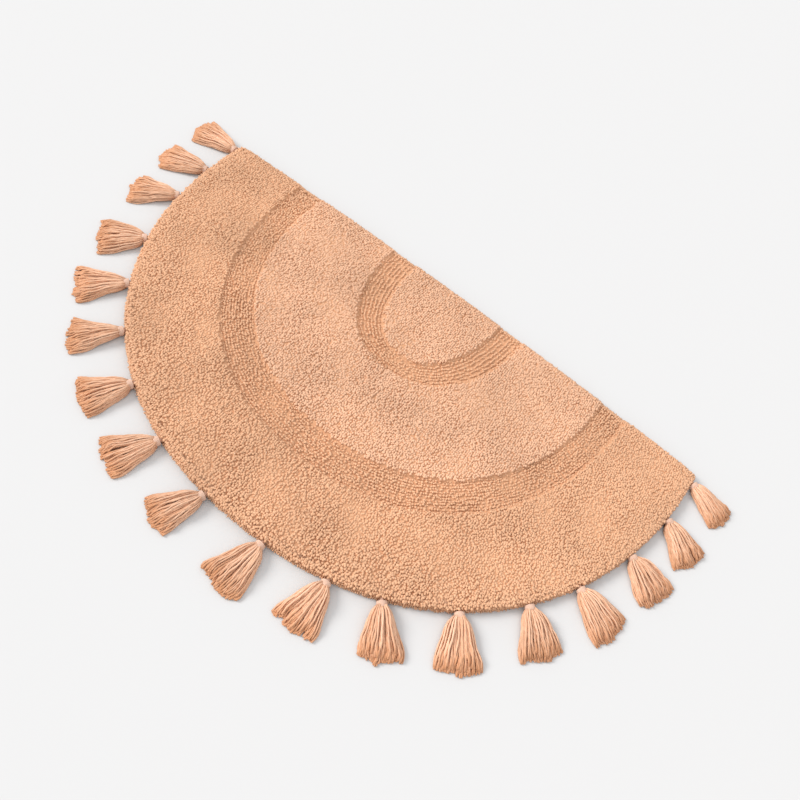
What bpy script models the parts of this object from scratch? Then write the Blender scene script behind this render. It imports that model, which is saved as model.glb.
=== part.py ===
"""Half-round cotton mat with two sunken bands and a tassel border, metres, +Z up."""
import math
import random

import bmesh
import bpy
from mathutils import Matrix, Vector

# Mat: straight edge along X, curve toward -Y, underside on the floor
HALF_WIDTH = 0.450
DEPTH = 0.500
CENTRE_Y = 0.250
ROUNDNESS = 2.2
EDGE_BOW = 0.012
PILE_TOP = 0.0150
BAND_FLOOR = 0.0115
RIM_ROUND = 0.008
CURVE_STEPS = 64

# Rows of the pile surface: half width, depth of the half oval, height
PILE_ROWS = [
    # half_width, depth, height
    (0.442, 0.492, 0.0146),
    (0.428, 0.478, PILE_TOP),
    (0.328, 0.392, PILE_TOP),
    (0.322, 0.386, 0.0144),
    (0.318, 0.381, BAND_FLOOR),
    (0.281, 0.337, BAND_FLOOR),
    (0.277, 0.333, 0.0142),
    (0.270, 0.325, PILE_TOP),
    (0.134, 0.202, PILE_TOP),
    (0.129, 0.197, 0.0144),
    (0.125, 0.192, BAND_FLOOR),
    (0.086, 0.165, BAND_FLOOR),
    (0.081, 0.160, 0.0144),
    (0.074, 0.152, PILE_TOP),
]

# Rolled-over edge of the pile: how far out, share of the height
RIM_ROWS = [
    # out, share
    (0.0045, 0.93),
    (0.0073, 0.74),
    (0.0080, 0.50),
    (0.0070, 0.22),
    (0.0040, 0.00),
]

# Tassels round the curve, from the corner at -X to the corner at +X; left and right are
# the half widths of the fan, their ends are shares of the length, and a waist above 1
# makes the fan open later
TASSELS = [
    # place_deg, heading_deg, length, left, right, left_end, right_end, waist
    (178.6, -180, 0.083, 0.028, 0.033, 0.97, 0.76, 1.00),
    (171.6, -161, 0.081, 0.032, 0.030, 0.90, 0.84, 0.95),
    (163.3, -146, 0.077, 0.036, 0.030, 0.80, 0.97, 1.30),
    (151.0, -138, 0.072, 0.036, 0.033, 0.92, 0.93, 0.90),
    (139.8, -132, 0.075, 0.034, 0.028, 0.96, 0.97, 1.15),
    (129.0, -125, 0.075, 0.035, 0.027, 0.82, 0.98, 1.60),
    (117.7, -118, 0.071, 0.032, 0.030, 0.88, 0.88, 0.95),
    (106.0, -115, 0.071, 0.031, 0.029, 0.93, 0.92, 1.00),
    (94.7, -113, 0.071, 0.028, 0.027, 0.97, 0.93, 1.00),
    (85.1, -96, 0.074, 0.028, 0.033, 0.93, 0.93, 1.00),
    (74.2, -88, 0.071, 0.029, 0.031, 0.96, 0.93, 0.95),
    (65.4, -53, 0.072, 0.029, 0.028, 0.85, 0.96, 0.95),
    (52.8, -57, 0.074, 0.030, 0.030, 0.97, 0.93, 0.85),
    (40.8, -45, 0.070, 0.026, 0.034, 0.98, 0.86, 0.95),
    (31.2, -23, 0.074, 0.026, 0.037, 0.96, 0.80, 0.90),
    (19.6, -26, 0.069, 0.029, 0.035, 0.93, 0.90, 0.90),
    (9.6, -29, 0.070, 0.030, 0.028, 0.93, 0.88, 0.90),
    (1.4, -20, 0.070, 0.022, 0.026, 0.93, 0.94, 0.90),
]

# Wound neck of a tassel, from the mat outward
NECK_ROWS = [
    # out, half_width, half_height, centre_z
    (0.0000, 0.0030, 0.0030, 0.0072),
    (0.0020, 0.0062, 0.0058, 0.0070),
    (0.0075, 0.0068, 0.0062, 0.0068),
    (0.0105, 0.0100, 0.0064, 0.0067),
]
HEAD_END = 0.0135
HEAD_HALF_WIDTHS = (0.0122, 0.0118, 0.0102, 0.0076)
HEAD_FLOOR = 0.0003
ROOT_GAP = 0.0004

# Locks of yarn: three layers on one another
LOCK_COLUMNS = 6
LOCK_HEIGHT = 0.0041
LAYER_STEP = 0.0044
LOCK_GAP = 0.0003
LAYERS = [
    # first_column, last_column, spread, reach
    (0, 5, 1.00, 1.00),
    (0, 5, 0.86, 0.97),
    (1, 4, 0.60, 0.93),
]
LOCK_STATIONS = [
    # along, open, width_share
    (0.25, 0.40, 0.94),
    (0.65, 0.93, 0.95),
    (1.00, 1.00, 0.90),
]


def signed_power(value, power):
    return math.copysign(abs(value) ** power, value)


def half_oval(half_width, depth, angle):
    """Point of a half oval, its ends on the straight edge."""
    x = half_width * signed_power(math.cos(angle), 2.0 / ROUNDNESS)
    y = -depth * abs(math.sin(angle)) ** (2.0 / ROUNDNESS)
    return x, y


def placed(x, y, z):
    """Bow the straight edge gently outward and centre the mat."""
    bow = EDGE_BOW * (1.0 - (x / HALF_WIDTH) ** 2) * (1.0 + y / DEPTH)
    return Vector((x, y + bow + CENTRE_Y, z))


def curve_angles():
    """Steps along the curve, even by length and symmetric."""
    samples = 2000
    points = [half_oval(HALF_WIDTH, DEPTH, math.pi * i / samples) for i in range(samples + 1)]
    lengths = [0.0]
    for a, b in zip(points, points[1:]):
        lengths.append(lengths[-1] + math.hypot(b[0] - a[0], b[1] - a[1]))
    angles = []
    index = 0
    for step in range(CURVE_STEPS + 1):
        target = lengths[-1] * step / CURVE_STEPS
        while index < samples and lengths[index] < target - 1e-12:
            index += 1
        angles.append(math.pi * index / samples)
    angles[0] = 0.0
    angles[-1] = math.pi
    return angles


def outward_normals(loop):
    """Level outward directions of a closed loop that runs clockwise seen from above."""
    normals = []
    count = len(loop)
    for i in range(count):
        before = loop[i] - loop[i - 1]
        after = loop[(i + 1) % count] - loop[i]
        total = Vector((0.0, 0.0, 0.0))
        for edge in (before, after):
            side = Vector((-edge.y, edge.x, 0.0))
            total += side.normalized()
        normals.append(total.normalized())
    return normals


def make_object(name, mesh_data, material, collection):
    """Close the mesh, point its faces outward and add it to the scene."""
    bmesh.ops.recalc_face_normals(mesh_data, faces=mesh_data.faces)
    mesh = bpy.data.meshes.new(name)
    mesh_data.to_mesh(mesh)
    mesh_data.free()
    obj = bpy.data.objects.new(name, mesh)
    mesh.materials.append(material)
    collection.objects.link(obj)
    return obj


def build_mat(material, collection):
    """Pile with its two sunken bands, rolled edge and flat underside, in one body."""
    mesh_data = bmesh.new()
    angles = curve_angles()
    rows = []
    for half_width, depth, height in PILE_ROWS:
        row = []
        for angle in angles:
            x, y = half_oval(half_width, depth - RIM_ROUND, angle)
            row.append(mesh_data.verts.new(placed(x, y - RIM_ROUND, height)))
        rows.append(row)
    for outer, inner in zip(rows, rows[1:]):
        for i in range(CURVE_STEPS):
            mesh_data.faces.new((outer[i], outer[i + 1], inner[i + 1], inner[i]))

    # Level middle field, closed along the straight edge
    middle = []
    half_width = PILE_ROWS[-1][0]
    for i in (1, 2, 3):
        x = -half_width + half_width * i / 2.0
        middle.append(mesh_data.verts.new(placed(x, -RIM_ROUND, PILE_TOP)))
    mesh_data.faces.new(rows[-1] + middle)

    # Edge of the pile, rolled over and down to the floor
    top_loop = list(rows[0])
    top_loop += [row[-1] for row in rows[1:]]
    top_loop += middle
    top_loop += [row[0] for row in reversed(rows[1:])]
    points = [vert.co.copy() for vert in top_loop]
    normals = outward_normals([Vector((p.x, p.y, 0.0)) for p in points])
    previous = top_loop
    for out, share in RIM_ROWS:
        ring = []
        for point, normal in zip(points, normals):
            spot = point + normal * out
            spot.z = point.z * share
            ring.append(mesh_data.verts.new(spot))
        for i in range(len(ring)):
            j = (i + 1) % len(ring)
            mesh_data.faces.new((previous[i], previous[j], ring[j], ring[i]))
        previous = ring
    mesh_data.faces.new(previous)
    outline = [point + normal * RIM_ROUND for point, normal in zip(points, normals)]
    make_object("mat", mesh_data, material, collection)
    return outline


def clearance(outline, spots):
    """Smallest level distance of some points outside the convex outline."""
    smallest = math.inf
    for spot in spots:
        reach = -math.inf
        for a, b in zip(outline, outline[1:] + outline[:1]):
            edge = b - a
            side = Vector((-edge.y, edge.x, 0.0)).normalized()
            reach = max(reach, (spot.x - a.x) * side.x + (spot.y - a.y) * side.y)
        smallest = min(smallest, reach)
    return smallest


def lattice_point(column, row):
    """Point of the end of the head, where the locks leave it."""
    side = (column - LOCK_COLUMNS / 2.0) / (LOCK_COLUMNS / 2.0)
    height = HEAD_FLOOR + LAYER_STEP * row
    return side * HEAD_HALF_WIDTHS[row], height


def lattice_border():
    """Border points of that end in order round it."""
    top = len(LAYERS)
    order = [(c, 0) for c in range(LOCK_COLUMNS + 1)]
    order += [(LOCK_COLUMNS, r) for r in range(1, top + 1)]
    order += [(c, top) for c in range(LOCK_COLUMNS - 1, -1, -1)]
    order += [(0, r) for r in range(top - 1, 0, -1)]
    return order


def lock_corners(layer, column, station, tassel, ragged):
    """Four corners of one lock at one station, in the tassel's own frame."""
    first, last, spread, reach = LAYERS[layer]
    along, opening, width_share = LOCK_STATIONS[station]
    length, left, right, left_end, right_end, waist = tassel
    opening = opening ** waist
    count = last - first + 1
    place = (column - first + 0.5) / count * 2.0 - 1.0
    pitch = (left + right) * spread / count
    root_y = (lattice_point(column, layer)[0] + lattice_point(column + 1, layer)[0]) / 2.0
    root_width = 2.0 * HEAD_HALF_WIDTHS[layer] / LOCK_COLUMNS
    end_y = ((right - left) / 2.0 + place * (left + right) / 2.0) * spread
    y = root_y + (end_y - root_y) * opening
    width = (root_width + (pitch - root_width) * opening) * width_share
    side_end = left_end if place < 0.0 else right_end
    end_share = 1.0 - (1.0 - side_end) * abs(place * spread) ** 1.6
    x = HEAD_END + ((length * reach + ragged) * end_share - HEAD_END) * along
    floor = LAYER_STEP * layer
    top = floor + LOCK_HEIGHT * (0.80 if along == 1.0 else 1.0)
    half = width / 2.0
    return [(x, y - half, floor), (x, y + half, floor), (x, y + half, top), (x, y - half, top)]


def corner_order(verts):
    """Low left, low right, high right, high left."""
    middle_y = sum(v.co.y for v in verts) / 4.0
    low = sorted(verts, key=lambda v: v.co.z)[:2]
    high = [v for v in verts if v not in low]
    low.sort(key=lambda v: v.co.y)
    high.sort(key=lambda v: v.co.y)
    assert low[0].co.y < middle_y < low[1].co.y
    return [low[0], low[1], high[1], high[0]]


def build_tassel(index, tassel, outline, material, collection):
    """Wound neck and its locks of yarn, fused at the neck, fanned out on the floor."""
    place_deg, heading_deg = tassel[:2]
    rng = random.Random(40 + index)
    mesh_data = bmesh.new()
    border = lattice_border()
    top = len(LAYERS)

    # Neck sections
    previous = None
    for out, half_width, half_height, centre_z in NECK_ROWS:
        ring = []
        for column, row in border:
            side = (column - LOCK_COLUMNS / 2.0) / (LOCK_COLUMNS / 2.0)
            rise = (row - top / 2.0) / (top / 2.0)
            angle = math.atan2(rise, side)
            point = (out, half_width * math.cos(angle), centre_z + half_height * math.sin(angle))
            ring.append(mesh_data.verts.new(point))
        if previous is None:
            mesh_data.faces.new(ring)
        else:
            for i in range(len(ring)):
                j = (i + 1) % len(ring)
                mesh_data.faces.new((previous[i], previous[j], ring[j], ring[i]))
        previous = ring

    # End of the head, divided where the locks leave it
    grid = {}
    for column in range(LOCK_COLUMNS + 1):
        for row in range(top + 1):
            y, z = lattice_point(column, row)
            grid[(column, row)] = mesh_data.verts.new((HEAD_END, y, z))
    ring = [grid[key] for key in border]
    for i in range(len(ring)):
        j = (i + 1) % len(ring)
        mesh_data.faces.new((previous[i], previous[j], ring[j], ring[i]))
    cells = {}
    for column in range(LOCK_COLUMNS):
        for row in range(top):
            corners = [(column, row), (column + 1, row), (column + 1, row + 1), (column, row + 1)]
            cells[(column, row)] = mesh_data.faces.new([grid[key] for key in corners])
    mesh_data.normal_update()

    # Locks drawn out of the divided end
    for layer in range(top):
        first, last = LAYERS[layer][0], LAYERS[layer][1]
        for column in range(first, last + 1):
            face = cells[(column, layer)]
            bmesh.ops.inset_individual(mesh_data, faces=[face], thickness=LOCK_GAP)
            ragged = rng.uniform(-0.003, 0.003)
            for station in range(len(LOCK_STATIONS)):
                made = bmesh.ops.extrude_discrete_faces(mesh_data, faces=[face])
                face = made["faces"][0]
                shape = lock_corners(layer, column, station, tassel[2:], ragged)
                for vert, spot in zip(corner_order(list(face.verts)), shape):
                    vert.co = spot

    # Set the tassel at its place on the curve
    angle = math.radians(place_deg)
    x, y = half_oval(HALF_WIDTH, DEPTH, angle)
    ahead = half_oval(HALF_WIDTH, DEPTH, angle - 0.002)
    behind = half_oval(HALF_WIDTH, DEPTH, angle + 0.002)
    tangent = Vector((ahead[0] - behind[0], ahead[1] - behind[1], 0.0))
    normal = Vector((tangent.y, -tangent.x, 0.0)).normalized()
    heading = math.radians(heading_deg)
    turn = Matrix.Translation(placed(x, y, 0.0)) @ Matrix.Rotation(heading, 4, "Z")
    gap = clearance(outline, [turn @ vert.co for vert in mesh_data.verts])
    turn = Matrix.Translation(normal * (ROOT_GAP - gap)) @ turn
    bmesh.ops.transform(mesh_data, matrix=turn, verts=mesh_data.verts)
    name = "tassel_%02d" % (index + 1)
    return make_object(name, mesh_data, material, collection)


def cotton(name, colour, roughness):
    material = bpy.data.materials.new(name)
    material.use_nodes = True
    shader = material.node_tree.nodes["Principled BSDF"]
    shader.inputs["Base Color"].default_value = (*colour, 1.0)
    shader.inputs["Roughness"].default_value = roughness
    material.diffuse_color = (*colour, 1.0)
    return material


def main():
    for old in list(bpy.data.objects):
        bpy.data.objects.remove(old, do_unlink=True)
    collection = bpy.data.collections.new("half_round_cotton_mat")
    bpy.context.scene.collection.children.link(collection)
    pile = cotton("pile_cotton", (0.79, 0.46, 0.27), 0.95)
    outline = build_mat(pile, collection)
    for index, tassel in enumerate(TASSELS):
        yarn = cotton("tassel_cotton_%02d" % (index + 1), (0.76, 0.43, 0.26), 0.92)
        build_tassel(index, tassel, outline, yarn, collection)


main()
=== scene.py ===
import math

import bpy
import numpy as np
from mathutils import Matrix, Vector


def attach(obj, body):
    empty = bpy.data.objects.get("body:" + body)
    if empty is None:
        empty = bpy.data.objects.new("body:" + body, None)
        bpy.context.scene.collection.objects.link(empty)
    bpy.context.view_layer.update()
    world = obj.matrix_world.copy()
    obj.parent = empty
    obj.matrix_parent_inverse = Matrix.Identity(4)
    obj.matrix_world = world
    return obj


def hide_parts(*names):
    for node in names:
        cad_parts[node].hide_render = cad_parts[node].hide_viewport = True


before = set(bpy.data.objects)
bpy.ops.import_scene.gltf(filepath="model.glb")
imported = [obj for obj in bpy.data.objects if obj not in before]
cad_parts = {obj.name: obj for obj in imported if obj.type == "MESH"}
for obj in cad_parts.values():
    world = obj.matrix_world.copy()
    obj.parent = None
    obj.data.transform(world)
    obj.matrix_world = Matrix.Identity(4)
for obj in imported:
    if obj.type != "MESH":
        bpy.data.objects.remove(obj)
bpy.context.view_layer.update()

# Sizes shared with the solids, in metres
HALF_WIDTH = 0.450
DEPTH = 0.500
CENTRE_Y = 0.250
ROUNDNESS = 2.2
EDGE_BOW = 0.012
RIM_ROUND = 0.008
ROOT_GAP = 0.0004
PILE_ROWS = np.array([
    # half_width, depth, height
    (0.442, 0.492, 0.0146),
    (0.428, 0.478, 0.0150),
    (0.328, 0.392, 0.0150),
    (0.322, 0.386, 0.0144),
    (0.318, 0.381, 0.0115),
    (0.281, 0.337, 0.0115),
    (0.277, 0.333, 0.0142),
    (0.270, 0.325, 0.0150),
    (0.134, 0.202, 0.0150),
    (0.129, 0.197, 0.0144),
    (0.125, 0.192, 0.0115),
    (0.086, 0.165, 0.0115),
    (0.081, 0.160, 0.0144),
    (0.074, 0.152, 0.0150),
    (0.001, 0.060, 0.0150),
])
TASSELS = [
    # place_deg, heading_deg, length, left, right, left_end, right_end, waist
    (178.6, -180, 0.083, 0.028, 0.033, 0.97, 0.76, 1.00),
    (171.6, -161, 0.081, 0.032, 0.030, 0.90, 0.84, 0.95),
    (163.3, -146, 0.077, 0.036, 0.030, 0.80, 0.97, 1.30),
    (151.0, -138, 0.072, 0.036, 0.033, 0.92, 0.93, 0.90),
    (139.8, -132, 0.075, 0.034, 0.028, 0.96, 0.97, 1.15),
    (129.0, -125, 0.075, 0.035, 0.027, 0.82, 0.98, 1.60),
    (117.7, -118, 0.071, 0.032, 0.030, 0.88, 0.88, 0.95),
    (106.0, -115, 0.071, 0.031, 0.029, 0.93, 0.92, 1.00),
    (94.7, -113, 0.071, 0.028, 0.027, 0.97, 0.93, 1.00),
    (85.1, -96, 0.074, 0.028, 0.033, 0.93, 0.93, 1.00),
    (74.2, -88, 0.071, 0.029, 0.031, 0.96, 0.93, 0.95),
    (65.4, -53, 0.072, 0.029, 0.028, 0.85, 0.96, 0.95),
    (52.8, -57, 0.074, 0.030, 0.030, 0.97, 0.93, 0.85),
    (40.8, -45, 0.070, 0.026, 0.034, 0.98, 0.86, 0.95),
    (31.2, -23, 0.074, 0.026, 0.037, 0.96, 0.80, 0.90),
    (19.6, -26, 0.069, 0.029, 0.035, 0.93, 0.90, 0.90),
    (9.6, -29, 0.070, 0.030, 0.028, 0.93, 0.88, 0.90),
    (1.4, -20, 0.070, 0.022, 0.026, 0.93, 0.94, 0.90),
]
ROWS = np.arange(len(PILE_ROWS))
ROW_WIDTHS, ROW_DEPTHS, ROW_HEIGHTS = PILE_ROWS.T
FULL_TURN = 2.0 * math.pi


# Camera at the photograph's angle

AZIMUTH = math.radians(17.629)
ELEVATION = math.radians(55.413)
ROLL = math.radians(22.845)
CAMERA_PLACE = Vector((0.2292, -0.5334, 0.8752))
LENS = 33.43
SENSOR = 36.0


def camera_axes():
    """Right, up and back of the camera, rolled about its line of sight."""
    flat = math.cos(ELEVATION)
    back = Vector((math.sin(AZIMUTH) * flat, -math.cos(AZIMUTH) * flat, math.sin(ELEVATION)))
    level = Vector((math.cos(AZIMUTH), math.sin(AZIMUTH), 0.0))
    over = back.cross(level)
    right = math.cos(ROLL) * level + math.sin(ROLL) * over
    up = math.cos(ROLL) * over - math.sin(ROLL) * level
    return right, up, back


def add_camera():
    right, up, back = camera_axes()
    camera = bpy.data.objects.new("camera", bpy.data.cameras.new("camera"))
    camera.data.lens = LENS
    camera.data.sensor_width = SENSOR
    camera.matrix_world = Matrix((
        (right.x, up.x, back.x, CAMERA_PLACE.x),
        (right.y, up.y, back.y, CAMERA_PLACE.y),
        (right.z, up.z, back.z, CAMERA_PLACE.z),
        (0.0, 0.0, 0.0, 1.0)))
    bpy.context.scene.collection.objects.link(camera)
    bpy.context.scene.camera = camera


# Materials

COTTONS = {
    # name: colour on top, colour in the depth for painted shade, scale of the speckle, scale of the
    # fibre
    "pile_cotton_outer": ((0.725, 0.428, 0.264), (0.61, 0.308, 0.156), 240.0, 1500.0),
    "pile_cotton_inner": ((0.750, 0.460, 0.305), (0.65, 0.348, 0.192), 240.0, 1500.0),
    "backing_cotton": ((0.78, 0.50, 0.33), (0.54, 0.25, 0.12), 500.0, 1800.0),
    "tassel_cotton": ((0.95, 0.650, 0.475), (0.52, 0.215, 0.085), 260.0, 1600.0),
    "neck_cotton": ((0.71, 0.48, 0.37), (0.50, 0.27, 0.17), 320.0, 1600.0),
}
MOTTLE_SCALE = 9.0
MOTTLE_SHARE = 0.55
SPECKLE_SHARE = 0.45
# Range of the mottle that is used, and what it does to the colour
MOTTLE_RANGE = (0.32, 0.68)
MOTTLE_TINT = (0.84, 1.12)
FIBRE_RELIEF = 0.0006
FIBRE_STRENGTH = 0.6
ROUGHNESS = 0.95
SPECULAR = 0.15
SHEEN = 0.10
SHEEN_ROUGHNESS = 0.5


def noise(nodes, scale, detail):
    texture = nodes.new("ShaderNodeTexNoise")
    texture.inputs["Scale"].default_value = scale
    texture.inputs["Detail"].default_value = detail
    return texture


def cotton(name):
    """Matt cotton: mottled colour, painted shade between the tufts, fine fibre relief."""
    light, dark, grain, fibre = COTTONS[name]
    material = bpy.data.materials.new(name)
    material.use_nodes = True
    nodes = material.node_tree.nodes
    links = material.node_tree.links
    shader = nodes["Principled BSDF"]
    place = nodes.new("ShaderNodeTexCoord")
    broad = noise(nodes, MOTTLE_SCALE, 4.0)
    fine = noise(nodes, grain, 3.0)
    hair = noise(nodes, fibre, 2.0)
    for texture in (broad, fine, hair):
        links.new(place.outputs["Object"], texture.inputs["Vector"])
    shade_and_tone = nodes.new("ShaderNodeAttribute")
    shade_and_tone.attribute_name = "shade_and_tone"
    # Painted shade: the attribute mixes from the dark colour in the depth to the light colour on top,
    # with a random tone per tuft or yarn
    depth = nodes.new("ShaderNodeMix")
    depth.data_type = "RGBA"
    depth.inputs["A"].default_value = (*dark, 1.0)
    depth.inputs["B"].default_value = (*light, 1.0)
    links.new(shade_and_tone.outputs["Fac"], depth.inputs["Factor"])
    mottle = nodes.new("ShaderNodeMath")
    mottle.operation = "MULTIPLY_ADD"
    mottle.inputs[1].default_value = MOTTLE_SHARE
    mottle.inputs[2].default_value = 0.0
    links.new(broad.outputs["Fac"], mottle.inputs[0])
    speckle = nodes.new("ShaderNodeMath")
    speckle.operation = "MULTIPLY_ADD"
    speckle.inputs[1].default_value = SPECKLE_SHARE
    links.new(fine.outputs["Fac"], speckle.inputs[0])
    links.new(mottle.outputs[0], speckle.inputs[2])
    span = nodes.new("ShaderNodeMapRange")
    span.inputs["From Min"].default_value = MOTTLE_RANGE[0]
    span.inputs["From Max"].default_value = MOTTLE_RANGE[1]
    span.inputs["To Min"].default_value = MOTTLE_TINT[0]
    span.inputs["To Max"].default_value = MOTTLE_TINT[1]
    links.new(speckle.outputs[0], span.inputs["Value"])
    tint = nodes.new("ShaderNodeMix")
    tint.data_type = "RGBA"
    tint.blend_type = "MULTIPLY"
    tint.inputs["Factor"].default_value = 1.0
    links.new(depth.outputs["Result"], tint.inputs["A"])
    links.new(span.outputs["Result"], tint.inputs["B"])
    links.new(tint.outputs["Result"], shader.inputs["Base Color"])
    bump = nodes.new("ShaderNodeBump")
    bump.inputs["Strength"].default_value = FIBRE_STRENGTH
    bump.inputs["Distance"].default_value = FIBRE_RELIEF
    links.new(hair.outputs["Fac"], bump.inputs["Height"])
    links.new(bump.outputs["Normal"], shader.inputs["Normal"])
    shader.inputs["Roughness"].default_value = ROUGHNESS
    shader.inputs["Specular IOR Level"].default_value = SPECULAR
    shader.inputs["Sheen Weight"].default_value = SHEEN
    shader.inputs["Sheen Roughness"].default_value = SHEEN_ROUGHNESS
    return material


# Meshes

def add_mesh(name, points, triangles, shade_and_tone, material, slot, *nodes):
    """A piece from arrays, riding on the body, in place of the solids that it names."""
    mesh = bpy.data.meshes.new(name)
    count = len(triangles)
    mesh.vertices.add(len(points))
    mesh.vertices.foreach_set("co", np.ascontiguousarray(points, np.float32).ravel())
    mesh.loops.add(count * 3)
    mesh.loops.foreach_set("vertex_index", np.ascontiguousarray(triangles, np.int32).ravel())
    mesh.polygons.add(count)
    mesh.polygons.foreach_set("loop_start", np.arange(0, count * 3, 3, dtype=np.int32))
    mesh.update(calc_edges=True)
    shade = mesh.attributes.new("shade_and_tone", "FLOAT", "POINT")
    shade.data.foreach_set("value", np.ascontiguousarray(shade_and_tone, np.float32))
    mesh.shade_smooth()
    mesh.validate()
    mesh.materials.append(material)
    piece = bpy.data.objects.new(name, mesh)
    bpy.context.scene.collection.objects.link(piece)
    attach(piece, "root")
    if nodes:
        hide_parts(*nodes)
    return piece


def ring_faces(steps, sides):
    """Triangles between rings of points, one ring after another."""
    faces = []
    for s in range(steps - 1):
        for i in range(sides):
            j = (i + 1) % sides
            a, b = s * sides + i, s * sides + j
            faces += [(a, b, b + sides), (a, b + sides, a + sides)]
    return faces


def repeated(faces, points_each, count):
    """The same faces for each of a number of equal shapes."""
    starts = points_each * np.arange(count)
    return (np.array(faces)[None] + starts[:, None, None]).reshape(-1, 3)


def run_along(x, y):
    """Length along a line of points, up to each point."""
    return np.concatenate([[0.0], np.cumsum(np.hypot(np.diff(x), np.diff(y)))])


# The mat's outline and its rows

# Rings past the first row: how far they go in rows, and how wide such a row is
BEYOND_ROWS = 1.2
BEYOND_PITCH = 0.010
RING_STEPS = 640
RING_HALVINGS = 11
# Waves that are summed, the range of their lengths, and the divisor of their sum
WAVES = 7
WAVE_LENGTHS = (0.05, 0.16)
WAVE_DIVISOR = 4.0
# Points along the curve, the straight edge and one row of a band
CURVE_POINTS = 3000
STRAIGHT_POINTS = 1500
ROW_POINTS = 1500
# Half the length over which the edge's direction is taken
EDGE_SPAN = 0.004


def half_oval(half_width, depth, angle):
    """Points of a half oval, its ends on the straight edge."""
    cosine = np.cos(angle)
    x = half_width * np.sign(cosine) * np.abs(cosine) ** (2.0 / ROUNDNESS)
    y = -depth * np.abs(np.sin(angle)) ** (2.0 / ROUNDNESS)
    return x, y


def placed(x, y):
    """Bow the straight edge gently outward and centre the mat."""
    bow = EDGE_BOW * (1.0 - (x / HALF_WIDTH) ** 2) * (1.0 + y / DEPTH)
    return y + bow + CENTRE_Y


def radial(x, y):
    """Direction outward from the middle of the straight edge, at right angles to the curve."""
    gx = np.sign(x) * (np.abs(x) / HALF_WIDTH) ** (ROUNDNESS - 1.0) / HALF_WIDTH
    gy = -(np.maximum(-y, 0.0) / DEPTH) ** (ROUNDNESS - 1.0) / DEPTH
    return np.arctan2(gy, gx)


def ring_of(x, y):
    """How far in a point lies, as a place in the table of pile rows, and the height there."""
    steps = np.linspace(-BEYOND_ROWS, len(PILE_ROWS) - 1.0, RING_STEPS)
    inner = np.maximum(steps, 0.0)
    beyond = -BEYOND_PITCH * np.minimum(steps, 0.0)
    half_width = np.interp(inner, ROWS, ROW_WIDTHS) + beyond
    depth = np.interp(inner, ROWS, ROW_DEPTHS) + beyond
    low = np.zeros(x.shape, int)
    high = np.full(x.shape, len(steps) - 1)
    reach = np.maximum(-(y + RIM_ROUND), 0.0)
    for _ in range(RING_HALVINGS):
        middle = (low + high) // 2
        size = (np.abs(x) / half_width[middle]) ** ROUNDNESS
        size = size + (reach / (depth[middle] - RIM_ROUND)) ** ROUNDNESS
        inside = size < 1.0
        low = np.where(inside, middle, low)
        high = np.where(inside, high, middle)
    place = steps[low]
    height = np.interp(np.maximum(place, 0.0), ROWS, ROW_HEIGHTS)
    return place, height


def slow_wave(x, y, seed):
    """Gentle unevenness of the pile, mostly between -1 and 1."""
    rng = np.random.default_rng(seed)
    total = np.zeros_like(x)
    for _ in range(WAVES):
        angle = rng.uniform(0.0, FULL_TURN)
        pitch = rng.uniform(*WAVE_LENGTHS)
        phase = rng.uniform(0.0, FULL_TURN)
        total += np.sin((x * math.cos(angle) + y * math.sin(angle)) * FULL_TURN / pitch + phase)
    return total / WAVE_DIVISOR


# Pile

PILE_SEED = 21
ROW_SEED = 3
BORDER_SEED = 5
HEIGHT_SEED = 11
BAND_SEED = 40
PILE_TOP = 0.0150
BAND_TOP = 0.0119
# Tuft: its shape, the place of its shoulder along it, and its tones, with painted shade at its foot
# and shoulder
TUFT_SIDES = 4
TUFT_POINTS = 2 * TUFT_SIDES + 1
TUFT_HEIGHT = 0.0052
FOOT_WIDTH = 0.82
TUFT_WOBBLE = 0.16
FIELD_CROWN = 0.86
RIM_CROWN = 0.78
CROWN_LEAN = 0.6
FOOT_SHADE = 0.10
SHOULDER_SHADE = 0.88
TUFT_TONES = (0.72, 1.0)
# Half length, half width, spread of the heights, share of low tufts
FIELD_TUFT = (0.00228, 0.00182, 0.00034, 0.09)
BAND_TUFT = (0.00200, 0.00180, 0.00045, 0.12)
# How much lower a low tuft stands
LOW_TUFT = (0.0010, 0.0022)
# Range of the tufts' sizes, as a share, and how far their tips stray to a side
TUFT_SIZES = (0.80, 1.25)
TIP_STRAY = 0.0006
# Unevenness of the pile's top, and its drop at the straight edge and at the curve
TOP_WAVE = 0.0007
EDGE_DROP = 0.0010
EDGE_DROP_WIDTH = 0.004
CURVE_DROP = 0.0010
# Outward lean of the tufts next to the curve, and how many rows in it begins
CURVE_LEAN = 0.0007
LEAN_ROWS = 1.6
# Rows of the fields
ROW_PITCH = 0.0031
TUFT_PITCH = 0.0028
ROW_HEADING = math.radians(84.0)
FIELD_OVERRUN = 0.030
FIELD_OVERLAP = 0.0030
ROW_STRAY = 0.00040
TUFT_STRAY = 0.00060
ROW_WANDER = 0.0014
ROW_SLANT = 0.10
ROW_TURN = 0.40
# Rows over which the tufts turn outward, and the stray of those that did
OUTWARD_ROWS = 1.2
OUTWARD_TURN = 0.25
# Uneven borders on the bands, in rows
BORDER_WAVE = 0.20
BORDER_WAVE_SCALE = 6.0
BORDER_STRAY = 0.13
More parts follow.
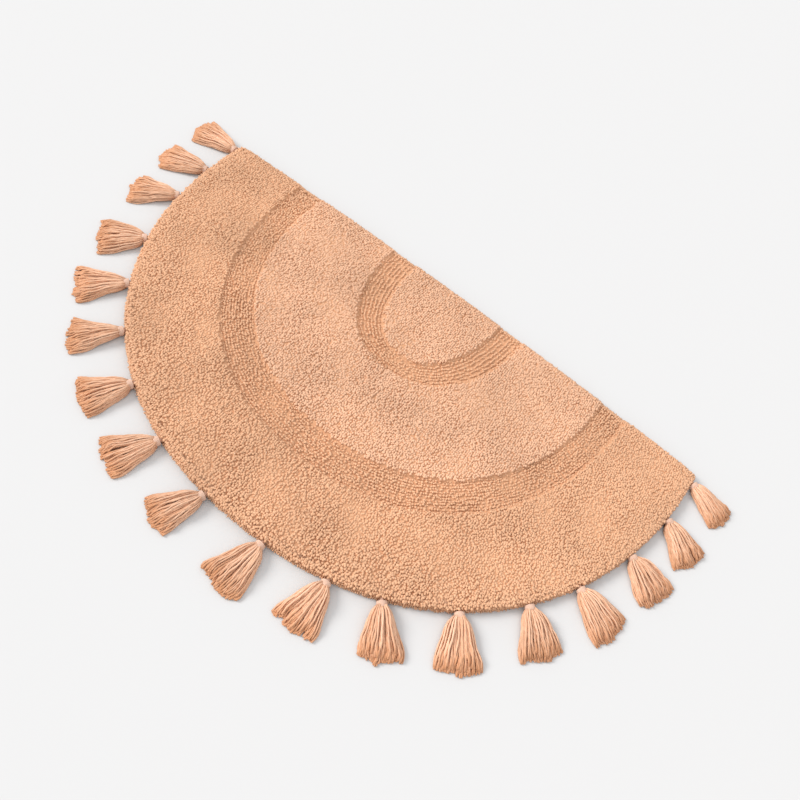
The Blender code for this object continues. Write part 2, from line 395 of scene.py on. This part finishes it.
# Rows of the bands
BAND_PITCH = 0.0042
BAND_TUFT_PITCH = 0.0031
BAND_STRAY = 0.00055
BAND_STEP_STRAY = 0.0007
BAND_WAVE = 0.0007
BAND_WAVE_SCALE = 5.0
BAND_TURN = 0.22
FIELDS = [
    # name, first row, last row, side, material
    ("pile_outer_left", -0.6, 3.1, -1, "outer"),
    ("pile_outer_right", -0.6, 3.1, 1, "outer"),
    ("pile_middle", 5.8, 9.1, 0, "inner"),
    ("pile_centre", 11.8, 99.0, 0, "inner"),
]
BANDS = [
    # name, first row, last row
    ("pile_band_outer", 3.3, 5.9),
    ("pile_band_inner", 9.3, 11.9),
]
RIM_ROWS = [
    # out, height, upward share of the tuft
    (-0.0008, 0.0104, 0.95),
    (0.0014, 0.0094, 0.80),
    (0.0028, 0.0076, 0.55),
    (0.0036, 0.0052, 0.25),
    (0.0038, 0.0026, 0.05),
]
RIM_PITCH = 0.0027
RIM_TUFT = 0.0040
RIM_HALF_LENGTH = (0.0019, 0.0025)
RIM_HALF_WIDTH = (0.0013, 0.0017)
RIM_STRAY = 0.0004
RIM_LEVEL_STRAY = 0.0005
RIM_TURN = 0.3
RIM_FLOOR = 0.0004
# How far the painted shade of the rim tufts is lifted toward their light colour
RIM_SHADE_LIFT = 0.15
# The straight edge, where the outward direction is near +Y, is the more even one
STRAIGHT_NORMAL = 0.95
STRAIGHT_STRAY = 0.3
# The rim draws in beside each tassel, and painted shade darkens it there
NOTCH_WIDTH = 0.0065
NOTCH_DEPTH = 0.0022
NOTCH_SHADE = 0.55


def tufts(spots, heading, size, tip, lean, crown, rng):
    """Short locks of cut pile: a four-sided body that rounds over to its tip."""
    count = len(spots)
    turn = np.linspace(0.0, FULL_TURN, TUFT_SIDES, endpoint=False)
    along = np.stack([np.cos(heading), np.sin(heading), np.zeros(count)], 1)
    across = np.stack([-np.sin(heading), np.cos(heading), np.zeros(count)], 1)
    wobble = 1.0 + rng.uniform(-TUFT_WOBBLE, TUFT_WOBBLE, (count, TUFT_SIDES))
    rings = []
    for rise, width, carry in ((0.0, FOOT_WIDTH, 0.0), (crown, 1.0, CROWN_LEAN)):
        a = size[:, 0, None] * np.cos(turn)[None] * width * wobble
        b = size[:, 1, None] * np.sin(turn)[None] * width * wobble
        ring = spots[:, None] + along[:, None] * a[..., None] + across[:, None] * b[..., None]
        ring = ring + tip[:, None] * rise + lean[:, None] * carry
        rings.append(ring)
    top = (spots + tip + lean)[:, None]
    points = np.concatenate(rings + [top], 1)
    faces = []
    for i in range(TUFT_SIDES):
        j = (i + 1) % TUFT_SIDES
        faces.append((i, j, TUFT_SIDES + j))
        faces.append((i, TUFT_SIDES + j, TUFT_SIDES + i))
        faces.append((TUFT_SIDES + i, TUFT_SIDES + j, 2 * TUFT_SIDES))
    triangles = repeated(faces, TUFT_POINTS, count)
    own = rng.uniform(*TUFT_TONES, count)
    shade_and_tone = np.empty((count, TUFT_POINTS))
    # Painted shade: dark at the foot, down between the tufts, and a little darker at the shoulder
    # than at the tip
    shade_and_tone[:, :TUFT_SIDES] = FOOT_SHADE
    shade_and_tone[:, TUFT_SIDES:2 * TUFT_SIDES] = SHOULDER_SHADE * own[:, None]
    shade_and_tone[:, 2 * TUFT_SIDES:] = own[:, None]
    return points.reshape(-1, 3), triangles, shade_and_tone.ravel()


def field_spots(rng):
    """Straight rows of tufts across the whole mat, each tuft a little off its place."""
    rows = np.arange(-HALF_WIDTH, HALF_WIDTH + FIELD_OVERRUN, ROW_PITCH)
    steps = np.arange(-DEPTH, 0.0, TUFT_PITCH)
    x, y = np.meshgrid(rows, steps, indexing="ij")
    y = y + rng.uniform(0.0, TUFT_PITCH, len(rows))[:, None]
    loose = ROW_STRAY * (1.0 + np.clip(-y.ravel() / DEPTH, 0.0, 1.0))
    x = x.ravel() + rng.normal(0.0, 1.0, x.size) * loose
    y = y.ravel() + rng.normal(0.0, TUFT_STRAY, y.size)
    slant = ROW_SLANT * (y + DEPTH / 2.0) * np.clip(x / HALF_WIDTH, 0.0, 1.0)
    x = x + ROW_WANDER * slow_wave(x, y, ROW_SEED) - slant
    keep = y < -RIM_ROUND + FIELD_OVERLAP
    return x[keep], y[keep]


def band_spots(first, last, rng):
    """Rows of tufts that follow the curve inside a sunken band."""
    outer_depth = np.interp(first, ROWS, ROW_DEPTHS)
    width = outer_depth - np.interp(last, ROWS, ROW_DEPTHS)
    count = max(2, round(width / BAND_PITCH))
    xs, ys = [], []
    for k in range(count):
        depth = outer_depth - width * (k + 0.5) / count
        half_width = np.interp(np.interp(-depth, -ROW_DEPTHS, ROWS), ROWS, ROW_WIDTHS)
        x, y = half_oval(half_width, depth - RIM_ROUND, np.linspace(0.0, math.pi, ROW_POINTS))
        run = run_along(x, y)
        amount = int(run[-1] / BAND_TUFT_PITCH)
        at = (np.arange(amount) + rng.uniform(0.0, 1.0)) / amount * run[-1]
        at = np.clip(at + rng.normal(0.0, BAND_STEP_STRAY, amount), 0.0, run[-1])
        row_x = np.interp(at, run, x)
        row_y = np.interp(at, run, y) - RIM_ROUND
        wave = slow_wave(row_x * BAND_WAVE_SCALE, row_y * BAND_WAVE_SCALE, BAND_SEED + k)
        wave = BAND_WAVE * wave
        out = radial(row_x, row_y)
        xs.append(row_x + wave * np.cos(out) + rng.normal(0.0, BAND_STRAY, amount))
        ys.append(row_y + wave * np.sin(out) + rng.normal(0.0, BAND_STRAY, amount))
    return np.concatenate(xs), np.concatenate(ys)


def pile_piece(name, x, y, heading, level, tuft, material, rng):
    """One area of pile, its tufts all of about one height, lower toward the rim."""
    half_length, half_width, stray, low_share = tuft
    count = len(x)
    place, _ = ring_of(x, y)
    straight_edge = 1.0 - np.clip((-y - RIM_ROUND) / EDGE_DROP_WIDTH, 0.0, 1.0)
    curve = np.clip(1.0 - place, 0.0, 1.6) ** 1.5
    top = level + TOP_WAVE * slow_wave(x, y, HEIGHT_SEED)
    top = top - EDGE_DROP * straight_edge - CURVE_DROP * curve
    top = top + rng.normal(0.0, stray, count)
    top = top - rng.uniform(*LOW_TUFT, count) * (rng.uniform(0.0, 1.0, count) < low_share)
    spots = np.stack([x, placed(x, y), top - TUFT_HEIGHT], 1)
    lengths = half_length * rng.uniform(*TUFT_SIZES, count)
    widths = half_width * rng.uniform(*TUFT_SIZES, count)
    sizes = np.stack([lengths, widths], 1)
    tip = np.stack([np.zeros(count), np.zeros(count), np.full(count, TUFT_HEIGHT)], 1)
    out = radial(x, y)
    comb = CURVE_LEAN * np.clip(LEAN_ROWS - place, 0.0, 1.0)
    lean_x = comb * np.cos(out) + rng.normal(0.0, TIP_STRAY, count)
    lean_y = comb * np.sin(out) + rng.normal(0.0, TIP_STRAY, count)
    lean = np.stack([lean_x, lean_y, np.zeros(count)], 1)
    points, triangles, shade_and_tone = tufts(spots, heading, sizes, tip, lean, FIELD_CROWN, rng)
    return add_mesh(name, points, triangles, shade_and_tone, material, "pile")


def build_pile(outer, inner):
    rng = np.random.default_rng(PILE_SEED)
    materials = {"outer": outer, "inner": inner}
    pieces = []
    x, y = field_spots(rng)
    count = len(x)
    place, _ = ring_of(x, y)
    out = radial(x, y)
    # Near the curve more and more tufts point outward instead of along their row
    heading = ROW_HEADING + rng.normal(0.0, ROW_TURN, count)
    turned = rng.uniform(0.0, 1.0, count) < np.clip(1.0 - place / OUTWARD_ROWS, 0.0, 1.0)
    heading = np.where(turned, out + rng.normal(0.0, OUTWARD_TURN, count), heading)
    # The fields' borders on the bands are a little uneven
    wave = slow_wave(x * BORDER_WAVE_SCALE, y * BORDER_WAVE_SCALE, BORDER_SEED)
    wander = BORDER_WAVE * wave + rng.normal(0.0, BORDER_STRAY, count)
    place = place + wander * (place > 1.0)
    for name, first, last, side, cotton_name in FIELDS:
        keep = (place > first) & (place < last)
        if side:
            keep &= x * side > 0.0
        pieces.append(pile_piece(name, x[keep], y[keep], heading[keep], PILE_TOP, FIELD_TUFT,
                                 materials[cotton_name], rng))
    for name, first, last in BANDS:
        x, y = band_spots(first, last, rng)
        heading = radial(x, y) + math.pi / 2.0 + rng.normal(0.0, BAND_TURN, len(x))
        pieces.append(pile_piece(name, x, y, heading, BAND_TOP, BAND_TUFT, outer, rng))
    pieces.append(build_rim(outer, rng))
    return pieces


def edge_loop(spacing):
    """Even points round the whole top edge of the pile, with outward directions."""
    angle = np.linspace(0.0, math.pi, CURVE_POINTS)
    x, y = half_oval(HALF_WIDTH - RIM_ROUND, DEPTH - 2.0 * RIM_ROUND, angle)
    straight = np.linspace(x[-1], x[0], STRAIGHT_POINTS)[1:-1]
    x = np.concatenate([x, straight])
    y = np.concatenate([y, np.zeros(len(straight))]) - RIM_ROUND
    _, height = ring_of(x, y)
    y = placed(x, y)
    height = np.append(height, height[0])
    x = np.append(x, x[0])
    y = np.append(y, y[0])
    run = run_along(x, y)
    at = np.arange(0.0, run[-1], spacing)
    px, py = np.interp(at, run, x), np.interp(at, run, y)
    ahead, behind = (at + EDGE_SPAN) % run[-1], (at - EDGE_SPAN) % run[-1]
    tx = np.interp(ahead, run, x) - np.interp(behind, run, x)
    ty = np.interp(ahead, run, y) - np.interp(behind, run, y)
    size = np.hypot(tx, ty)
    return px, py, -ty / size, tx / size, np.interp(at, run, height)


def build_rim(material, rng):
    """Tufts that turn over the edge and down to the floor."""
    x, y, nx, ny, height_there = edge_loop(RIM_PITCH)
    count = len(x)
    roots = np.array([tassel_turn(*tassel[:2])[:2, 3] for tassel in TASSELS])
    away = np.min(np.hypot(x[:, None] - roots[:, 0], y[:, None] - roots[:, 1]), 1)
    notch = np.exp(-(away / NOTCH_WIDTH) ** 2)
    # Painted shade beside each tassel's root
    shade = 1.0 - NOTCH_SHADE * np.repeat(notch, TUFT_POINTS)
    stray = np.where(ny > STRAIGHT_NORMAL, STRAIGHT_STRAY, 1.0)
    parts = []
    base = 0
    for out, height, rise in RIM_ROWS:
        reach = out + rng.normal(0.0, RIM_STRAY, count) * stray - NOTCH_DEPTH * notch
        level = height * height_there / PILE_TOP + rng.normal(0.0, RIM_LEVEL_STRAY, count)
        spots = np.stack([x + nx * reach, y + ny * reach, level], 1)
        flat = math.sqrt(1.0 - rise * rise)
        length = RIM_TUFT + rng.normal(0.0, RIM_STRAY, count)
        tip = np.stack([nx * flat * length, ny * flat * length, rise * length], 1)
        lean = rng.normal(0.0, RIM_STRAY, (count, 3))
        lean[:, 2] = np.abs(lean[:, 2]) * 0.3
        lengths = rng.uniform(*RIM_HALF_LENGTH, count)
        widths = rng.uniform(*RIM_HALF_WIDTH, count)
        sizes = np.stack([lengths, widths], 1)
        heading = np.arctan2(ny, nx) + rng.normal(0.0, RIM_TURN, count)
        points, triangles, shade_and_tone = tufts(spots, heading, sizes, tip, lean, RIM_CROWN, rng)
        points[:, 2] = np.maximum(points[:, 2], RIM_FLOOR)
        # Painted shade of the tufts, lifted on the rim and deepened beside each tassel
        parts.append((points, triangles + base, (RIM_SHADE_LIFT + (1.0 - RIM_SHADE_LIFT) * shade_and_tone) * shade))
        base += len(points)
    points, triangles, shade_and_tone = (np.concatenate(group) for group in zip(*parts))
    return add_mesh("pile_rim", points, triangles, shade_and_tone, material, "pile")


# Backing

BACKING_SINK = 0.0019
BACKING_POINTS = 161
# How far out the backing's edge stands on its way down, and its height as a share of the top
BACKING_EDGE = [
    (0.0035, 0.80),
    (0.0048, 0.50),
    (0.0045, 0.15),
    (0.0035, 0.0),
]
UNDERSIDE_LEVEL = 0.002
UNDERSIDE_TONE = 0.75
# Painted shade: the backing above its underside, seen down between the tufts, is dark
BACKING_SHADE = 0.30


def build_ground(material):
    """Woven backing that the pile stands on: one closed cloth with a flat underside."""
    angle = np.linspace(0.0, math.pi, BACKING_POINTS)
    points, faces = [], []
    width = len(angle)
    for half_width, depth, height in PILE_ROWS:
        x, y = half_oval(half_width, depth - RIM_ROUND, angle)
        y = y - RIM_ROUND
        points.append(np.stack([x, placed(x, y), np.full(width, height - BACKING_SINK)], 1))
    points = np.concatenate(points)
    for r in range(len(PILE_ROWS) - 1):
        for i in range(width - 1):
            a, b = r * width + i, r * width + i + 1
            c, d = b + width, a + width
            faces += [(a, b, c), (a, c, d)]
    loop = list(range(width))
    loop += [r * width + width - 1 for r in range(1, len(PILE_ROWS))]
    loop += [r * width for r in range(len(PILE_ROWS) - 1, 0, -1)]
    edge = points[loop]
    way = (np.roll(edge, -1, 0) - np.roll(edge, 1, 0))[:, :2]
    way /= np.linalg.norm(way, axis=1)[:, None]
    normal = np.stack([-way[:, 1], way[:, 0]], 1)
    previous = np.array(loop)
    for out, share in BACKING_EDGE:
        ring = edge.copy()
        ring[:, :2] += normal * out
        ring[:, 2] = edge[:, 2] * share
        fresh = len(points) + np.arange(len(loop))
        points = np.concatenate([points, ring])
        for i in range(len(loop)):
            j = (i + 1) % len(loop)
            faces += [(previous[i], previous[j], fresh[j]), (previous[i], fresh[j], fresh[i])]
        previous = fresh
    centre = points[previous].mean(0)
    points = np.concatenate([points, centre[None]])
    last = len(points) - 1
    for i in range(len(loop)):
        j = (i + 1) % len(loop)
        faces.append((previous[i], previous[j], last))
    faces = np.array(faces)[:, ::-1]
    # Painted shade on the backing's top; the hidden underside is lighter
    shade_and_tone = np.where(points[:, 2] < UNDERSIDE_LEVEL, UNDERSIDE_TONE, BACKING_SHADE)
    return add_mesh("mat_cloth", points, faces, shade_and_tone, material, "pile", "mat")


# Tassels

TASSEL_SEED = 300
SKIRT_LAYERS = [
    # yarns, spread, reach, height at the neck, height at the tip
    (32, 1.00, 1.000, 0.0022, 0.0014),
    (32, 0.97, 0.980, 0.0046, 0.0036),
    (30, 0.91, 0.950, 0.0070, 0.0058),
    (26, 0.81, 0.915, 0.0094, 0.0080),
    (18, 0.62, 0.870, 0.0116, 0.0100),
]
SKIRT_START = 0.0062
# Half width of the skirt by place along it, as a share of its widest
FAN_PLACE = (0.00, 0.09, 0.14, 0.20, 0.30, 0.45, 0.60, 0.75, 0.88, 1.00)
FAN_SHARE = (0.20, 0.25, 0.38, 0.49, 0.59, 0.70, 0.84, 0.97, 1.02, 0.98)
# Yarn: sides, steps along it, radius, depth of the twist's groove, length of one twist
YARN_SIDES = 5
YARN_STEPS = 12
YARN_RADIUS = 0.00122
YARN_GROOVE = 0.21
TWIST_LENGTH = 0.0090
# Ranges from yarn to yarn, as shares, of thickness, twist and tone
YARN_SIZES = (0.85, 1.15)
TWIST_SHARES = (0.85, 1.15)
YARN_TONES = (0.75, 1.0)
# Radius at the neck and at the cut, and how far the ends bulge, as shares of the radius
NECK_RADIUS = 0.76
CUT_RADIUS = 1.06
ROOT_BULGE = 0.2
CUT_BULGE = 0.35
# Strays of single yarns: place across, height, looseness and its range of bends, ripple
YARN_STRAY = 0.7
YARN_LIFT = 0.0004
YARN_LOOSE = 0.0010
LOOSE_BENDS = (4.0, 16.0)
YARN_RIPPLE = 0.0005
RIPPLE_BENDS = 7.0
# Stray of the cut ends, and what is added to it in the shorter layers
CUT_STRAY = 0.0007
LAYER_STRAY = 0.012
# Folds that the yarns gather in
FOLDS = 8
FOLD_SPAN = 0.95
FOLD_STRAY = 0.12
FOLD_DEPTHS = (0.4, 1.0)
FOLD_WIDTH = 0.13
FOLD_HEIGHT = 0.0024
FOLD_SWAY = 0.0012
FOLD_CUT = 0.0014
FOLD_SHADE = 0.22
# Tip height of the layer whose folds have their full height
FOLD_LEVEL = 0.0092
# Pull toward the folds in the widest layer, and what the narrower ones add to it
PULL = 0.06
PULL_RISE = 0.50
PULL_SPREAD = 0.42
PULL_SHARES = (0.6, 1.0)
NECK_ARCH = 0.0018
CUT_DROOP = 0.45
DROOP_LENGTH = 0.20
FLOOR_GAP = 0.0003
# Tone by place along a yarn, darker toward the cut end
FADE_PLACE = (0.0, 0.3, 0.7, 0.88, 1.0)
FADE_TONE = (1.0, 0.97, 0.84, 0.56, 0.32)
CUT_TONE = 0.30
GROOVE_SHADE = 0.45
NECK_ROWS = [
    # along, half width, half height, height of the middle
    (-0.0050, 0.0022, 0.0022, 0.0078),
    (0.0005, 0.0030, 0.0030, 0.0074),
    (0.0016, 0.0050, 0.0048, 0.0071),
    (0.0075, 0.0056, 0.0052, 0.0069),
    (0.0105, 0.0074, 0.0052, 0.0066),
    (0.0150, 0.0060, 0.0038, 0.0064),
]
NECK_SIDES = 20
NECK_MIDDLE = 0.0068
NECK_HALF = 0.0052
NECK_TONE = 0.55
# Winding of the neck: start, end, half width, half height, height of the middle, turns
WRAP = (0.0018, 0.0080, 0.0060, 0.0056, 0.0070, 4.5)
WRAP_RADIUS = 0.00088
WRAP_SIDES = 6
WRAP_STEPS = 20
WRAP_SWELL = 0.05
WRAP_TONE = 0.95


def yarn_tubes(paths, radius, turns):
    """Round yarns along many paths at once, of two twisted plies, closed at both ends."""
    sides = YARN_SIDES
    count, steps = paths.shape[:2]
    way = np.gradient(paths, axis=1)
    way /= np.linalg.norm(way, axis=2, keepdims=True)
    up = np.zeros_like(way)
    up[..., 2] = 1.0
    side = np.cross(way, up)
    side /= np.maximum(np.linalg.norm(side, axis=2, keepdims=True), 1e-9)
    over = np.cross(side, way)
    phi = np.linspace(0.0, FULL_TURN, sides, endpoint=False)
    spin = turns[:, None] * np.linspace(0.0, 1.0, steps)[None] * FULL_TURN
    ply = np.cos(2.0 * (phi[None, None] - spin[..., None]))
    reach = radius[..., None] * (1.0 + YARN_GROOVE * ply)
    rings = paths[:, :, None] + side[:, :, None] * (np.cos(phi) * reach)[..., None]
    rings = rings + over[:, :, None] * (np.sin(phi) * reach)[..., None]
    first = paths[:, :1] - way[:, :1] * radius[:, :1, None] * ROOT_BULGE
    last = paths[:, -1:] + way[:, -1:] * radius[:, -1:, None] * CUT_BULGE
    points = np.concatenate([rings.reshape(count, steps * sides, 3), first, last], 1)
    faces = ring_faces(steps, sides)
    start, end = steps * sides, steps * sides + 1
    for i in range(sides):
        j = (i + 1) % sides
        faces.append((j, i, start))
        faces.append(((steps - 1) * sides + i, (steps - 1) * sides + j, end))
    triangles = repeated(faces, points.shape[1], count)
    groove = ply * 0.5 + 0.5
    return points.reshape(-1, 3), triangles, groove.reshape(count, steps * sides)


def yarn_heights(along, neck_z, tip_z, crest, lift, wave):
    """Height of a yarn: an arch out of the neck, its fold's crest, and a drooping cut end."""
    arch = NECK_ARCH * np.sin(math.pi * np.minimum(along * 1.6, 1.0))
    z = neck_z + (tip_z - neck_z) * along ** 0.7 + arch
    fold = np.sin(math.pi * np.minimum(along * 1.1, 1.0)) * (tip_z / FOLD_LEVEL)
    z = z + FOLD_HEIGHT * crest * fold
    z = z + lift + YARN_RIPPLE * np.sin(along * RIPPLE_BENDS + wave)
    droop = np.clip((along - (1.0 - DROOP_LENGTH)) / DROOP_LENGTH, 0.0, 1.0) ** 2
    return z - CUT_DROOP * tip_z * droop


def skirt_paths(shape, rng):
    """Yarns from the neck, gathered in folds, fanned out on the floor."""
    length, left, right, left_end, right_end, waist = shape
    along = np.linspace(0.0, 1.0, YARN_STEPS) ** 0.9
    paths, radii, shade = [], [], []
    folds = np.linspace(-FOLD_SPAN, FOLD_SPAN, FOLDS)
    folds = folds + rng.uniform(-FOLD_STRAY, FOLD_STRAY, FOLDS)
    depth = rng.uniform(*FOLD_DEPTHS, FOLDS)
    sway = rng.normal(0.0, FOLD_SWAY, FOLDS)
    cut = rng.normal(0.0, FOLD_CUT, FOLDS)
    for yarns, spread, reach, neck_z, tip_z in SKIRT_LAYERS:
        # Places across the tassel, from -1 to 1, drawn toward the nearest fold
        root = (np.arange(yarns) + 0.5) / yarns * 2.0 - 1.0
        place = np.clip(root + rng.normal(0.0, YARN_STRAY / yarns, yarns), -1.0, 1.0)
        near = np.argmin(np.abs(place[:, None] - folds[None]), 1)
        away = place - folds[near]
        pull = PULL + PULL_RISE * (1.0 - spread) / PULL_SPREAD
        gathered = place - away * rng.uniform(*PULL_SHARES, yarns) * pull * depth[near]
        crest = np.cos(np.clip(away / FOLD_WIDTH, -1.0, 1.0) * math.pi) * depth[near]
        off_middle = (neck_z - NECK_MIDDLE) / NECK_MIDDLE
        root_y = root * NECK_HALF * math.sqrt(max(0.1, 1.0 - off_middle ** 2))
        end_y = ((right - left) / 2.0 + gathered * (left + right) / 2.0) * spread
        uneven = CUT_STRAY + LAYER_STRAY * (1.0 - reach)
        for k in range(yarns):
            side_end = left_end if place[k] < 0.0 else right_end
            end_share = 1.0 - (1.0 - side_end) * abs(place[k] * spread) ** 1.6
            tip = length * reach * end_share + cut[near[k]] + rng.normal(0.0, uneven)
            x = SKIRT_START + (tip - SKIRT_START) * along
            share = np.interp(x / length, FAN_PLACE, FAN_SHARE)
            fan = np.clip((share - FAN_SHARE[0]) / (1.0 - FAN_SHARE[0]), 0.0, 1.03) ** waist
            y = root_y[k] + (end_y[k] - root_y[k]) * fan
            wave = rng.uniform(0.0, FULL_TURN)
            loose = YARN_LOOSE * np.sin(along * rng.uniform(*LOOSE_BENDS) + wave)
            y = y + (loose + sway[near[k]] * np.sin(along * 4.0 + near[k])) * along
            lift = rng.normal(0.0, YARN_LIFT)
            z = yarn_heights(along, neck_z, tip_z, crest[k], lift, wave)
            swell = NECK_RADIUS + (1.0 - NECK_RADIUS) * np.minimum(along * 3.0, 1.0)
            thick = YARN_RADIUS * swell * rng.uniform(*YARN_SIZES)
            thick[-1] *= CUT_RADIUS
            z = np.maximum(z, thick * 1.15 + 0.0002)
            paths.append(np.stack([x, y, z], 1))
            radii.append(thick)
            shade.append((1.0 - FOLD_SHADE) + FOLD_SHADE * crest[k])
    return np.array(paths), np.array(radii), np.array(shade)


def wrap_path(start, end, half_width, half_height, centre_z, turns):
    """Middle line of the thread wound round the neck."""
    steps = int(turns * WRAP_STEPS)
    turn = np.linspace(0.0, FULL_TURN * turns, steps)
    along = np.linspace(0.0, 1.0, steps)
    x = start + (end - start) * along
    swell = 1.0 + WRAP_SWELL * np.sin(along * math.pi)
    y = half_width * swell * np.cos(turn)
    z = centre_z + half_height * swell * np.sin(turn)
    return np.stack([x, y, z], 1)


def wound_tube(path, radius, sides):
    """One tube along a wound path, its frame turned with the winding."""
    way = np.gradient(path, axis=0)
    way /= np.linalg.norm(way, axis=1)[:, None]
    side = np.cross(way, np.array([1.0, 0.0, 0.0]))
    side /= np.linalg.norm(side, axis=1)[:, None]
    over = np.cross(side, way)
    phi = np.linspace(0.0, FULL_TURN, sides, endpoint=False)
    rings = path[:, None] + radius * (side[:, None] * np.cos(phi)[None, :, None]
                                      + over[:, None] * np.sin(phi)[None, :, None])
    return rings.reshape(-1, 3), np.array(ring_faces(len(path), sides))


def neck_core(rows, sides):
    """Bundle of yarn inside the neck, from the mat to the skirt."""
    phi = np.linspace(0.0, FULL_TURN, sides, endpoint=False)
    points = []
    for x, half_width, half_height, z in rows:
        y = half_width * np.cos(phi)
        points.append(np.stack([np.full(sides, x), y, z + half_height * np.sin(phi)], 1))
    faces = ring_faces(len(rows), sides)
    faces += [(0, i + 1, i) for i in range(1, sides - 1)]
    top = (len(rows) - 1) * sides
    faces += [(top, top + i, top + i + 1) for i in range(1, sides - 1)]
    return np.concatenate(points), np.array(faces)


def tassel_turn(place_deg, heading_deg):
    """Where a tassel leaves the edge, and the way it lies."""
    angle = math.radians(place_deg)
    x, y = half_oval(HALF_WIDTH, DEPTH, np.array([angle, angle - 0.002, angle + 0.002]))
    tangent = Vector((x[1] - x[2], y[1] - y[2], 0.0))
    normal = Vector((tangent.y, -tangent.x, 0.0)).normalized()
    root = Vector((float(x[0]), float(placed(x[:1], y[:1])[0]), 0.0)) + normal * ROOT_GAP
    turn = Matrix.Translation(root) @ Matrix.Rotation(math.radians(heading_deg), 4, "Z")
    return np.array(turn)


def build_tassel(index, tassel, yarn, thread):
    """A skirt of twisted yarns and the neck that ties them, in place of one node's solid."""
    length = tassel[2]
    rng = np.random.default_rng(TASSEL_SEED + index)
    turn = tassel_turn(*tassel[:2])
    node = "tassel_%02d" % (index + 1)

    paths, radii, shade = skirt_paths(tassel[2:], rng)
    turns = (length / TWIST_LENGTH) * rng.uniform(*TWIST_SHARES, len(paths))
    points, triangles, groove = yarn_tubes(paths, radii, turns)
    own = rng.uniform(*YARN_TONES, len(paths)) * shade
    fade = np.interp(np.linspace(0.0, 1.0, YARN_STEPS), FADE_PLACE, FADE_TONE)
    twist = groove * GROOVE_SHADE + (1.0 - GROOVE_SHADE)
    sides_tone = twist * np.repeat(fade, YARN_SIDES)[None]
    ends_tone = np.full((len(paths), 2), CUT_TONE)
    shade_and_tone = np.concatenate([sides_tone, ends_tone], 1) * own[:, None]
    points[:, 2] = np.maximum(points[:, 2], FLOOR_GAP)
    points = points @ turn[:3, :3].T + turn[:3, 3]
    skirt = add_mesh(node + "_skirt", points, triangles, shade_and_tone.ravel(), yarn, "tassel_yarn", node)

    body, body_faces = neck_core(NECK_ROWS, NECK_SIDES)
    wound, wound_faces = wound_tube(wrap_path(*WRAP), WRAP_RADIUS, WRAP_SIDES)
    points = np.concatenate([body, wound])
    triangles = np.concatenate([body_faces, wound_faces + len(body)])
    shade_and_tone = np.concatenate([np.full(len(body), NECK_TONE), np.full(len(wound), WRAP_TONE)])
    points = points @ turn[:3, :3].T + turn[:3, 3]
    neck = add_mesh(node + "_neck", points, triangles, shade_and_tone, thread, "tassel_yarn", node)
    return [skirt, neck]


# Floor and light

FLOOR_SIZE = 6.0
FLOOR_COLOUR = (0.62, 0.62, 0.625, 1.0)
FLOOR_ROUGHNESS = 0.9
FLOOR_SPECULAR = 0.1
# The lamp's direction as parts of the camera's up, back and left
KEY_UP = 1.3
KEY_BACK = 1.1
KEY_LEFT = 1.5
KEY_STRENGTH = 2.6
KEY_SPREAD_DEG = 24.0
KEY_COLOUR = (1.0, 0.985, 0.96)
WORLD_STRENGTH = 1.01


def add_floor():
    mesh = bpy.data.meshes.new("floor")
    size = FLOOR_SIZE
    mesh.from_pydata([(-size, -size, 0.0), (size, -size, 0.0), (size, size, 0.0), (-size, size, 0.0)],
                     [], [(0, 1, 2, 3)])
    floor = bpy.data.objects.new("floor", mesh)
    bpy.context.scene.collection.objects.link(floor)
    material = bpy.data.materials.new("floor")
    material.use_nodes = True
    shader = material.node_tree.nodes["Principled BSDF"]
    shader.inputs["Base Color"].default_value = FLOOR_COLOUR
    shader.inputs["Roughness"].default_value = FLOOR_ROUGHNESS
    shader.inputs["Specular IOR Level"].default_value = FLOOR_SPECULAR
    mesh.materials.append(material)


def add_lights():
    """One soft lamp from the upper left of the picture, in a white surround."""
    bpy.context.scene.view_settings.view_transform = "Standard"
    right, up, back = camera_axes()
    direction = up * KEY_UP + back * KEY_BACK - right * KEY_LEFT
    lamp = bpy.data.lights.new("key", "SUN")
    lamp.energy = KEY_STRENGTH
    lamp.angle = math.radians(KEY_SPREAD_DEG)
    lamp.color = KEY_COLOUR
    key = bpy.data.objects.new("key", lamp)
    key.rotation_euler = (-direction).to_track_quat("-Z", "Y").to_euler()
    bpy.context.scene.collection.objects.link(key)
    world = bpy.data.worlds.new("studio")
    world.use_nodes = True
    background = world.node_tree.nodes["Background"]
    background.inputs["Color"].default_value = (1.0, 1.0, 1.0, 1.0)
    background.inputs["Strength"].default_value = WORLD_STRENGTH
    bpy.context.scene.world = world


def main():
    add_camera()
    outer = cotton("pile_cotton_outer")
    inner = cotton("pile_cotton_inner")
    cloth = cotton("backing_cotton")
    yarn = cotton("tassel_cotton")
    thread = cotton("neck_cotton")
    ground = build_ground(cloth)
    pieces = build_pile(outer, inner)
    for index, tassel in enumerate(TASSELS):
        pieces += build_tassel(index, tassel, yarn, thread)
    add_floor()
    add_lights()


main()
